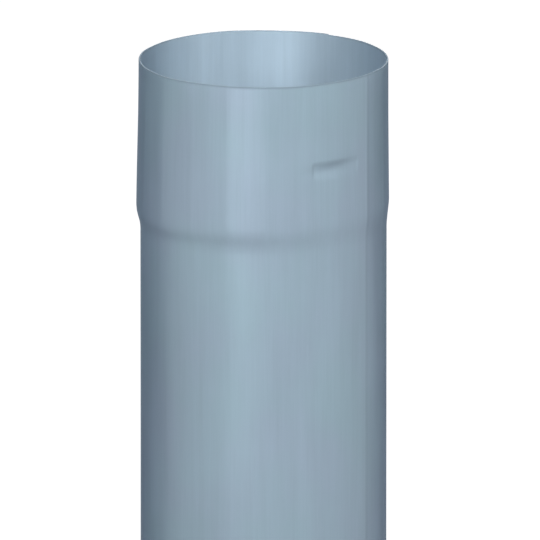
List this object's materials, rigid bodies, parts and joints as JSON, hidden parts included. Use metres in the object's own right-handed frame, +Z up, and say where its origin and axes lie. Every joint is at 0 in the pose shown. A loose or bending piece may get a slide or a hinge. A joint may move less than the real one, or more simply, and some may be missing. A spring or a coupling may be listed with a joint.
{
  "type": "round zinc downpipe",
  "caption": "Straight round downpipe of bare zinc sheet with a welded seam, a plain lower end and an expanded socket at its upper end that takes the next pipe.",
  "frame": {"origin": "centre of the plain lower end, on the pipe's axis", "axes": "+Z up the pipe to the socket's rim, -Y to the front as pictured, +X to the right; the seam lies 56 degrees to the right of the front"},
  "size_m": [0.1023, 0.1024, 1],
  "materials": {
    "zinc": "bare titanium-zinc sheet, blue-grey, rolled satin surface with a faint lengthwise grain and soft reflections, no coating"
  },
  "bodies": {
    "root": {"downpipe": "zinc"}
  },
  "joints": []
}
